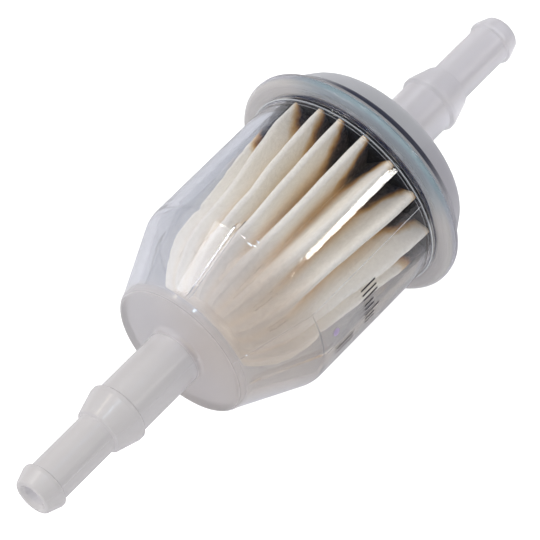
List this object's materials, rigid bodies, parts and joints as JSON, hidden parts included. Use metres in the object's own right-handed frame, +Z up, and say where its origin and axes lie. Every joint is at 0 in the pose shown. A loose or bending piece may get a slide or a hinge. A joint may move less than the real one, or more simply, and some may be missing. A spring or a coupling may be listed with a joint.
{
  "type": "in-line fuel filter",
  "caption": "Clear in-line fuel filter: cone-ended bowl and domed cap welded at a flange, stepped barbed hose nipples at both ends, pleated paper star inside.",
  "frame": {"origin": "on the filter's axis, midway between the mouths of the two nipples", "axes": "+X along the axis in the direction of flow, from the inlet nipple on the bowl to the outlet nipple on the cap; +Z up, through one of the bowl's four inner ribs"},
  "size_m": [0.116, 0.0422, 0.0422],
  "materials": {
    "clear_plastic": "clear, glossy, milky on the nipple",
    "milky_plastic": "translucent milky white, satin",
    "dark_plastic": "blue-black, satin",
    "gasket_rubber": "black rubber, matt",
    "filter_paper": "cream filter paper with tan stains in the folds",
    "adhesive": "hardened cream to amber resin",
    "ink": null
  },
  "bodies": {
    "root": {"clear_bowl": "clear_plastic", "outlet_cap": "milky_plastic", "element_plate": "dark_plastic", "plate_gasket": "gasket_rubber", "pleated_paper": "filter_paper", "plate_adhesive": "adhesive", "closed_end_resin": "adhesive", "seam_adhesive": "adhesive"}
  },
  "joints": []
}
